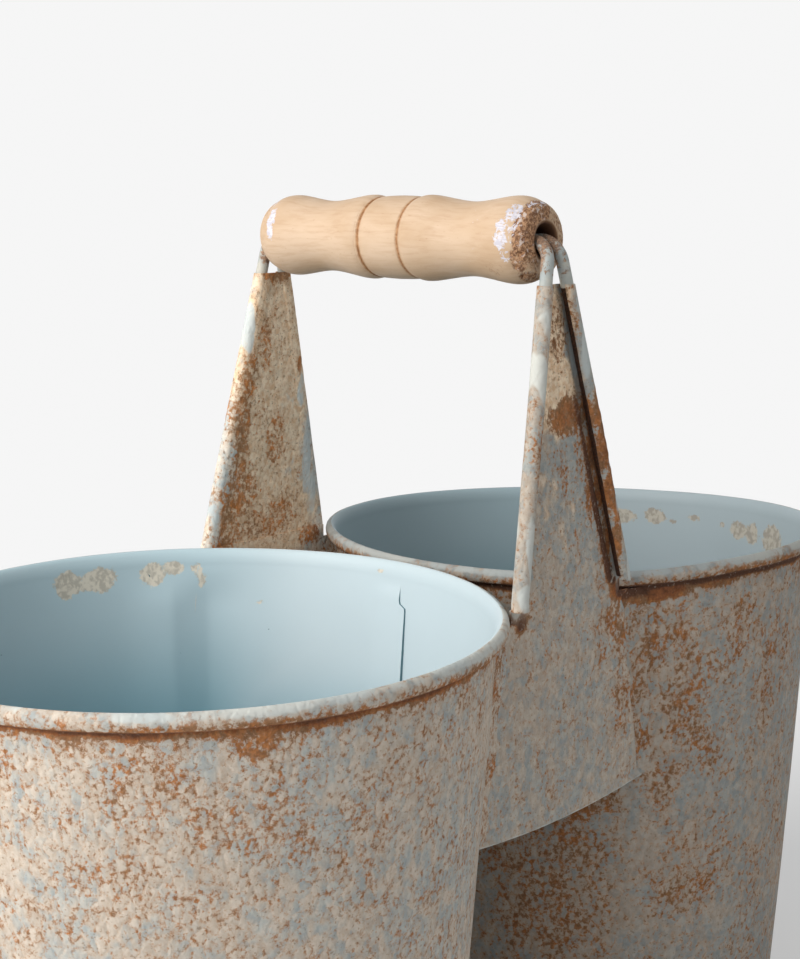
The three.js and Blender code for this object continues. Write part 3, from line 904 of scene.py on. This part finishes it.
def make_plate(end, turn, rust, clean, dark, crusted, groove_shade_and_rust_share, seed):
    """A side plate: flat web in the valley, narrowing upward with both edges rolled round the wires."""
    rows = np.linspace(ROLL_BOTTOM, PLATE_TOP, 130)
    rings = [at_height(plate_ring(z, seed), z) for z in rows]
    lower = lower_web()
    points, faces = join(loft(rings), loft(lower))
    flat = np.stack([points[:, 0], np.zeros(len(points)), points[:, 2]], 1)
    buckle = 0.16 * noise(flat, 26, seed + 2) + 0.05 * noise(flat, 7, seed + 3)
    # Painted highlight: the lowest ring of the web gets pale clean paint, a thin light line along the bottom
    # edge
    bottom_edge_highlight = np.zeros(len(points))
    web_start = len(rows) * len(rings[0])
    bottom_edge_highlight[web_start:web_start + len(lower[0])] = 1
    mirrored = -1 if turn else 1
    across = points[:, 0] * mirrored
    web = np.array([web_inner(max(z, ROLL_BOTTOM)) for z in points[:, 2]])
    outer_face = np.abs(points[:, 1] - web) > 0.3
    rusty = blotches(across, points[:, 2], rust)
    crust = blotches(across, points[:, 2], crusted)
    from_roll = across - np.array([leg_place(max(z, ROLL_BOTTOM))[0] for z in points[:, 2]])
    # Rust and painted shade in the groove beside one roll of the front plate, fed to both the rust and the
    # dark masks
    groove_rust_and_shade = groove_shade_and_rust_share * hump(from_roll + 3.8, 1.4) * smooth(212, 200, points[:, 2])
    groove_rust_and_shade = groove_rust_and_shade * smooth(152, 156, points[:, 2]) * (0.9 + 0.5 * noise(flat, 9, seed + 7))
    scale = 0.3 * np.clip(0.2 + rough_noise(flat, 2.6, seed + 5), 0, 1) * np.maximum(rusty, crust)
    points = points + np.outer(buckle, [0, 1, 0]) + np.outer(scale * outer_face, [0, 1, 0])

    masks = {
        "rust": np.maximum(rusty + 0.08 * noise(flat, 12, seed + 6), 1.4 * groove_rust_and_shade),
        "crust": crust,
        "dark": np.maximum(blotches(across, points[:, 2], dark), 1.1 * groove_rust_and_shade),
        "clean": np.maximum(blotches(across, points[:, 2], clean), 0.6 * bottom_edge_highlight),
    }
    name = f"{end}_side_plate"
    return add_mesh(f"{end}_plate_sheet", turn_about_z(points, turn), faces, [name], masks)


# Solder


def make_plate_solder(end, side, turn, mirror, seed):
    """A lumpy fillet of solder along one edge of a side plate, from the web to the pot's wall."""
    depth = web_inner(ROLL_BOTTOM) + PLATE_SHEET
    rings = []
    for z in np.linspace(PLATE_BOTTOM + 0.6, BEAD_BOTTOM - 0.3, 90):
        radius = wall_outer(z)
        corner_x = valley_half_width(radius, depth)
        lump = 1 + 0.22 * noise([[0, 0, z]], 5, seed)[0] + 0.1 * noise([[0, 0, z]], 1.8, seed + 1)[0]
        taper = smooth(PLATE_BOTTOM, PLATE_BOTTOM + 3, z)
        taper *= 1 - 0.6 * smooth(BEAD_BOTTOM - 3, BEAD_BOTTOM, z)
        leg = 2.8 + 2.0 * smooth(PLATE_BOTTOM, BEAD_BOTTOM, z)
        size = leg * lump * (0.35 + 0.65 * taper)
        on_web = np.array([corner_x - size, depth - 0.12])
        along = math.atan2(depth, corner_x - POT_OFFSET) - size / radius
        sunk = radius - 0.42
        on_wall = np.array([POT_OFFSET + sunk * math.cos(along), sunk * math.sin(along)])
        corner = np.array([corner_x, depth])
        t = np.linspace(0, 1, 9)[:, None]
        hollow = corner * 0.7 + (on_web + on_wall) * 0.15
        face = (1 - t) ** 2 * on_web + 2 * t * (1 - t) * hollow + t**2 * on_wall
        ring = np.concatenate([face, [corner + [0.25, -0.25], corner + [-0.4, -0.15]]])
        rings.append(at_height(ring * [mirror, 1], z))
    points, faces = loft(rings, flip=mirror > 0)
    z = points[:, 2]
    rust = 0.45 * smooth(-0.3, 0.6, noise(points, 7, seed + 2)) + 1.1 * smooth(144, 150, z)
    masks = {"dark": 0.8 * smooth(146, 150, z), "rust": rust}
    name = f"{end}_{side}_plate_solder"
    return add_mesh(f"{end}_{side}_fillet", turn_about_z(points, turn), faces, [name], masks)


def make_rim_solder(seed):
    """Solder between the two rims where they touch: a drop pinched between the beads."""
    half_length = 9.0
    top = POT_HEIGHT - 0.5
    rings = []
    for y in np.linspace(-half_length, half_length, 44):
        gap = POT_OFFSET - math.sqrt((RIM_RADIUS - 0.25) ** 2 - y**2)
        share = math.sqrt(max(1 - (y / half_length) ** 2, 0.03))
        crown = top - 0.9 + 0.25 * noise([[0, y, 0]], 4, seed)[0] * share
        low = top - 0.9 - 2.6 * share
        c, s = np.cos(full_turn(20)), np.sin(full_turn(20))
        x = (gap + 0.35 * share) * c * (0.75 + 0.25 * np.abs(s))
        z = np.where(s > 0, crown - 0.5 * (1 - s), (crown + low) / 2 + (crown - low) / 2 * s - 0.5)
        rings.append(np.stack([x, np.full(20, y), z], 1))
    points, faces = loft(rings, flip=True)
    masks = {"rust": 0.3 * np.clip(noise(points, 4, seed + 2), 0, 1), "clean": 0.5 * np.ones(len(points))}
    return add_mesh("rim_solder_drop", points, faces, ["rim_solder"], masks)


# Wires


def make_bail_wire(side, sign, seed):
    """A wire up the front roll, through the grip and down the back roll, with round bends."""
    foot = ROLL_BOTTOM + WIRE_INSET
    reach, depth = leg_place(foot)
    corners = [
        Vector((sign * reach, -depth, foot)),
        Vector((sign * WIRE_OFFSET, -WIRE_REACH, GRIP_HEIGHT)),
        Vector((sign * WIRE_OFFSET, WIRE_REACH, GRIP_HEIGHT)),
        Vector((sign * reach, depth, foot)),
    ]
    path = []
    for i, corner in enumerate(corners):
        if i in (0, 3):
            path.append(corner)
            continue
        arriving = (corner - corners[i - 1]).normalized()
        leaving = (corners[i + 1] - corner).normalized()
        angle = arriving.angle(leaving)
        start = corner - arriving * WIRE_BEND * math.tan(angle / 2)
        inward = (leaving - arriving * leaving.dot(arriving)).normalized()
        for t in np.linspace(0, angle, 22):
            path.append(start + arriving * WIRE_BEND * math.sin(t) + inward * WIRE_BEND * (1 - math.cos(t)))
    fine = [path[0]]
    for a, b in zip(path, path[1:]):
        steps = max(1, round((b - a).length / 1.2))
        fine += [a.lerp(b, k / steps) for k in range(1, steps + 1)]
    places = np.array([list(p) for p in fine])
    tangents = np.gradient(places, axis=0)
    tangents /= np.linalg.norm(tangents, axis=1)[:, None]
    beside = np.array([1.0, 0, 0])
    angles = full_turn(28)
    rings = []
    for place, tangent in zip(places, tangents):
        first = beside - tangent * beside.dot(tangent)
        first /= np.linalg.norm(first)
        second = np.cross(tangent, first)
        ring = place + WIRE_RADIUS * (np.outer(np.cos(angles), first) + np.outer(np.sin(angles), second))
        rings.append(ring)
    points, faces = loft(rings)
    outward = np.sign(points - np.repeat(places, len(angles), axis=0))
    points = points - 0.03 * (1 + noise(points, 2.5, seed))[:, None] * outward
    near_bore = hump(np.abs(points[:, 1]) - GRIP_HALF_LENGTH - 0.5, 3.2) * (points[:, 2] > GRIP_HEIGHT - 8)
    # Near-black rust and painted shade on the wire where the plates' rolls cover it
    covered = 1 - smooth(PLATE_TOP - 1.5, PLATE_TOP - 0.2, points[:, 2])
    masks = {"rust": np.clip(near_bore * 0.55, 0, 1), "rust_and_shade_in_roll": covered}
    name = f"{side}_bail_wire"
    return add_mesh(f"{side}_wire_rod", points, faces, [name], masks)


# Grip

# Marks on the grip: place along it, angle round it in degrees from the left side up, half sizes, strength
GRIP_PAINT = [
    (-42.6, 2, 2.2, 17, 0.7), (-42.4, 20, 2.0, 14, 0.66), (-44.4, 44, 2.4, 20, 0.66),
    (-45.6, 16, 1.6, 24, 0.45), (-43.6, -20, 1.6, 12, 0.55), (41.6, 26, 1.9, 20, 0.72),
    (41.2, 6, 1.5, 15, 0.68), (44.2, 60, 1.4, 18, 0.5), (-46.8, 84, 1.4, 26, 0.5),
]
GRIP_SOIL = [
    (-47.8, 20, 2.8, 70, 0.85), (-47.8, 80, 2.8, 40, 0.7), (-46.5, -30, 2.6, 30, 0.62),
    (-46.0, -70, 2.6, 26, 0.6), (-46, -110, 3, 60, 0.5), (45.5, 50, 2.0, 40, 0.38),
    (-38.5, -40, 5, 18, 0.34), (-20, -75, 12, 14, 0.2),
]
GRIP_SCRATCHES = [(-20, 17, 3.6, 1.3, 0.32), (-25, 21, 2.2, 1.2, 0.3), (-37.5, 8, 0.35, 2, 0.8)]

# Pits in the grip: place along it, angle round it, radius and depth
GRIP_PITS = [
    (-45.4, -62, 0.9, 0.9), (-47.2, -20, 0.9, 0.8), (-47.9, 4, 0.7, 0.6), (-45.6, -38, 0.6, 0.5),
]


def grip_profile():
    """Closed outline of radius against place along the grip, from the bore round the outside."""
    depth = max(GRIP_HALF_LENGTH - (WIRE_REACH - WIRE_BEND), WIRE_RADIUS)
    drop = WIRE_BEND - math.sqrt(WIRE_BEND**2 - depth**2)
    mouth = math.hypot(WIRE_OFFSET, drop) + WIRE_RADIUS + MOUTH_CLEARANCE
    face = mouth + END_LAND
    shoulder = GROOVE_AT + 4.5
    bulb = GRIP_HALF_LENGTH - 8.8
    waist = (shoulder + bulb) / 2
    bead = spline([(BEAD_RADIUS, 0), (BEAD_RADIUS - 0.12, GROOVE_AT * 0.6),
                   (BEAD_RADIUS - 0.3, GROOVE_AT - 0.9), (GROOVE_RADIUS, GROOVE_AT)], 8)
    limb = spline([(GROOVE_RADIUS, GROOVE_AT), (BULB_RADIUS - 0.35, GROOVE_AT + 0.9), (BULB_RADIUS, shoulder),
                   (WAIST_RADIUS, waist), (END_RADIUS, bulb), (END_RADIUS - 1.2, GRIP_HALF_LENGTH - 3.2),
                   ((END_RADIUS + face) / 2, GRIP_HALF_LENGTH - 0.8), (face, GRIP_HALF_LENGTH)], 16)[1:]
    hollow = np.array([(mouth + 0.5, GRIP_HALF_LENGTH), (mouth, GRIP_HALF_LENGTH - 0.5),
                       (BORE_RADIUS, GRIP_HALF_LENGTH - depth)])
    half = np.concatenate([bead, limb, hollow])
    mirrored = (half[1:] * [1, -1])[::-1]
    bore = np.stack([np.full(10, BORE_RADIUS), np.linspace(half[-1][1], mirrored[0][1], 12)[1:-1]], 1)
    return np.concatenate([mirrored, half, bore])


def make_grip(seed):
    """The turned wooden grip, worn and chipped round the near mouth of its bore."""
    profile = grip_profile()
    angles = full_turn(160)
    radius, along = profile.T
    x = -np.outer(np.cos(angles), radius)
    z = np.outer(np.sin(angles), radius)
    y = np.tile(along, (len(angles), 1))
    points = np.stack([x, y, z], 2).reshape(-1, 3)
    faces = grid_faces(len(angles), len(profile), wrap_rows=True)
    degrees = (np.degrees(np.repeat(angles, len(profile))) + 180) % 360 - 180
    place, size = points[:, 1], np.hypot(points[:, 0], points[:, 2])
    outside = smooth(BORE_RADIUS + 0.6, BORE_RADIUS + 1.6, size)

    chipped = outside * smooth(45.0, 48.5, -place) * (0.6 + 0.4 * smooth(60, 0, np.abs(degrees)))
    worn = outside * smooth(46.0, 48.8, np.abs(place))
    cut = 0.55 * chipped * np.clip(0.35 + rough_noise(points, 3.0, seed), 0, 1) + 0.12 * worn
    cut = cut + 0.05 * outside * (1 + noise(points, 9, seed + 1))
    for y_pit, angle_pit, half, depth in GRIP_PITS:
        away = np.hypot((place - y_pit) / half, np.radians(degrees - angle_pit) * size / half)
        cut = cut + depth * (1 - smooth(0.3, 1.1, away)) * outside
    direction = np.stack([points[:, 0] / size, np.zeros(len(points)), points[:, 2] / size], 1)
    points = points - direction * cut[:, None]
    end_cut = 0.35 * chipped * np.clip(0.4 + rough_noise(points, 2.6, seed + 3), 0, 1)
    points[:, 1] += end_cut * smooth(48.0, 48.7, -place)

    groove = sum(0.8 * hump(place - g, 0.85) for g in (-GROOVE_AT, GROOVE_AT))
    second = sum(hump(place - g, 0.16) for g in (-GROOVE_AT - 1.4, GROOVE_AT + 1.2))
    scratch = blotches(place, degrees, GRIP_SCRATCHES)
    pits = sum(np.exp(-(((place - p) / 0.8) ** 2) - ((degrees - a) / 5) ** 2) for p, a, _, _ in GRIP_PITS)
    masks = {
        "burnt": np.clip(groove + 0.25 * second + scratch + pits, 0, 1) * outside + (1 - outside),
        # Painted shade inside the bore
        "bore": 1 - outside,
        "painted": blotches(place, degrees, GRIP_PAINT) * outside,
        "soiled": np.clip(np.maximum(blotches(place, degrees, GRIP_SOIL), 0.8 * chipped), 0, 1) * outside,
    }
    points[:, 2] += GRIP_HEIGHT
    replaced = ["wooden_grip"]
    return add_mesh("grip_turning", points, faces, replaced, masks, body="grip", sharp=60)


# Stage


def make_camera():
    """The photograph's viewpoint: place in metres, heading from +Y, tilt and roll in degrees."""
    place = (-0.3478, -0.3123, 0.2612)
    heading, tilt, roll = 47.89, -10.10, -0.47
    camera = add_object("camera", bpy.data.cameras.new("camera"))
    camera.data.lens = 63.35
    camera.data.sensor_width = 36
    camera.data.clip_start = 0.01
    turn = Matrix.Rotation(math.radians(-heading), 4, "Z")
    lean = Matrix.Rotation(math.radians(90 + tilt), 4, "X")
    spin = Matrix.Rotation(math.radians(roll), 4, "Z")
    camera.matrix_world = Matrix.Translation(place) @ turn @ lean @ spin
    bpy.context.scene.camera = camera


# The backdrop's white, the floor's grey, how far the floor already glows at the part, and the
# distances in metres between which it fades to white
BACKDROP = (0.92, 0.92, 0.92, 1)
FLOOR_COLOUR = (0.76, 0.76, 0.76, 1)
FADE_START = 0.20
FADE_END = 0.62
FLOOR_LIFT = 0.36


def make_floor():
    """A wide pale floor that takes the shadow and fades to the backdrop's white away from the part."""
    radius, rings, spokes = 6.0, 24, 96
    steps = radius * (np.arange(1, rings + 1) / rings) ** 2
    angles = full_turn(spokes)
    points = np.array([(0, 0, 0)] + [(r * math.cos(a), r * math.sin(a), 0) for r in steps for a in angles])
    faces = [[0, 1 + j, 1 + (j + 1) % spokes] for j in range(spokes)]
    faces += [f[::-1] for f in grid_faces(rings, spokes, start=1)]
    mesh = bpy.data.meshes.new("floor")
    mesh.from_pydata(points.tolist(), [], faces)
    floor = add_object("floor", mesh)

    material = bpy.data.materials.new("floor")
    material.use_nodes = True
    tree = material.node_tree
    tree.nodes.clear()
    place = add_node(tree, "ShaderNodeTexCoord").outputs["Object"]
    away = add_node(tree, "ShaderNodeVectorMath", place, operation="LENGTH").outputs["Value"]
    fade = add_node(tree, "ShaderNodeMapRange", away, interpolation_type="SMOOTHSTEP", From_Min=FADE_START,
                    From_Max=FADE_END, To_Min=FLOOR_LIFT).outputs["Result"]
    share = add_node(tree, "ShaderNodeMath", fade, seen_rays(tree), operation="MULTIPLY").outputs[0]
    diffuse = add_node(tree, "ShaderNodeBsdfDiffuse", Color=FLOOR_COLOUR).outputs[0]
    glow = add_node(tree, "ShaderNodeEmission", Color=BACKDROP).outputs[0]
    mix = add_node(tree, "ShaderNodeMixShader", share, diffuse, glow).outputs[0]
    add_node(tree, "ShaderNodeOutputMaterial", Surface=mix)
    floor.data.materials.append(material)


def seen_rays(tree):
    """1 on rays from the camera and on those that mirror or pass through to it."""
    rays = add_node(tree, "ShaderNodeLightPath").outputs
    found = rays["Is Camera Ray"]
    for name in ("Is Glossy Ray", "Is Transmission Ray"):
        found = add_node(tree, "ShaderNodeMath", found, rays[name], operation="MAXIMUM").outputs[0]
    return found


# Even light from below and from above, and the point that the lamps face
AMBIENT_LOW = 0.29
AMBIENT_HIGH = 0.47
AMBIENT_COLOUR = (0.95, 0.98, 1.0, 1)
LAMP_TARGET = Vector((0, 0, 0.14))

# Lamps: power, distance, size, heading from +X and height in degrees, colour
KEY_LAMP = (7.9, 0.72, 0.75, 170.0, 29.0, (1.0, 0.96, 0.92))
FILL_LAMP = (1.15, 0.9, 0.7, -62.0, 26.0, (1.0, 0.94, 0.88))


def make_lamp(name, power, distance, size, heading, height, tint):
    """A round soft lamp that looks at the middle of the part."""
    lamp = bpy.data.lights.new(name, "AREA")
    lamp.shape = "DISK"
    lamp.size = size
    lamp.energy = power
    lamp.color = tint
    holder = add_object(name, lamp)
    heading, height = math.radians(heading), math.radians(height)
    level = math.cos(height)
    toward = Vector((math.cos(heading) * level, math.sin(heading) * level, math.sin(height)))
    holder.location = LAMP_TARGET + toward * distance
    holder.rotation_mode = "QUATERNION"
    holder.rotation_quaternion = toward.to_track_quat("Z", "Y")


def make_light():
    """Even light from all round, brighter from above, with a soft key and a weak low fill."""
    world = bpy.data.worlds.new("studio")
    bpy.context.scene.world = world
    world.use_nodes = True
    tree = world.node_tree
    tree.nodes.clear()
    place = add_node(tree, "ShaderNodeTexCoord").outputs["Generated"]
    height = add_node(tree, "ShaderNodeSeparateXYZ", place).outputs["Z"]
    level = add_node(tree, "ShaderNodeMapRange", height, To_Min=AMBIENT_LOW, To_Max=AMBIENT_HIGH)
    strength = level.outputs["Result"]
    ambient = add_node(tree, "ShaderNodeBackground", Color=AMBIENT_COLOUR, Strength=strength)
    white = add_node(tree, "ShaderNodeBackground", Color=BACKDROP).outputs[0]
    mix = add_node(tree, "ShaderNodeMixShader", seen_rays(tree), ambient.outputs[0], white).outputs[0]
    add_node(tree, "ShaderNodeOutputWorld", Surface=mix)
    make_lamp("key", *KEY_LAMP)
    make_lamp("fill", *FILL_LAMP)


def use(material, *pieces):
    for piece in pieces:
        piece.data.materials.clear()
        piece.data.materials.append(material)


make_camera()
left_pot = make_pot("left", -POT_OFFSET, NEAR_INSIDE_WEAR, NEAR_OUTSIDE_RUST, LAP_ANGLE, 0.35, 3,
                    near=True, plate_angle=-42)
right_pot = make_pot("right", POT_OFFSET, FAR_INSIDE_WEAR, FAR_OUTSIDE_RUST_AND_SHADE, 180 - LAP_ANGLE, 1.0, 11)
rim_rods = [make_rim_wire("left", -POT_OFFSET, False), make_rim_wire("right", POT_OFFSET, True)]
left_base = make_base("left", -POT_OFFSET, 5)
right_base = make_base("right", POT_OFFSET, 6)
back_plate = make_plate("back", 0, BACK_RUST, BACK_CLEAN, BACK_DARK, BACK_CRUST, 0.0, 21)
front_plate = make_plate("front", math.pi, FRONT_RUST, FRONT_CLEAN, FRONT_DARK, FRONT_CRUST, 1.0, 22)
fillets = [
    make_plate_solder("back", "left", 0, -1, 31),
    make_plate_solder("back", "right", 0, 1, 32),
    make_plate_solder("front", "left", math.pi, 1, 33),
    make_plate_solder("front", "right", math.pi, -1, 34),
]
drop = make_rim_solder(41)
wires = [make_bail_wire("left", -1, 51), make_bail_wire("right", 1, 52)]
grip = make_grip(61)

# Both pots have one paint: the far pot's lower levels are painted shade. The back plate's higher levels are
# partly painted light.
near_paint = weathered_paint("near_pot_paint", 0.0, blue_share=0.42, rust_share=0.56, grain=0.88,
                             level=0.88, rust_tone_and_light=0.9)
far_paint_shaded = weathered_paint("far_pot_paint_shaded", 90.0, blue_share=0.5, rust_share=0.55, level=0.63,
                            inside_shade_level=0.76, rust_tone_and_light=0.72, rust_depth=1.1, clean_tone_and_light=0.84)
use(near_paint, left_pot, left_base, fillets[0], fillets[2])
use(far_paint_shaded, right_pot, right_base, drop, fillets[1], fillets[3])
use(weathered_paint("plate_paint", 150.0, blue_share=0.42, rust_share=0.34, grain=0.85, level=0.77,
                    rust_tone_and_light=0.9), front_plate)
use(weathered_paint("back_plate_paint_lit", 210.0, blue_share=0.45, rust_share=0.45, grain=0.85, level=1.3,
                    rust_tone_and_light=1.5, clean_tone_and_light=1.4), back_plate)
use(painted_wire("wire_paint"), *wires)
use(wood("turned_wood"), grip)
use(bare_steel("rim_steel"), *rim_rods)

make_floor()
make_light()
bpy.context.scene.view_settings.view_transform = "Standard"
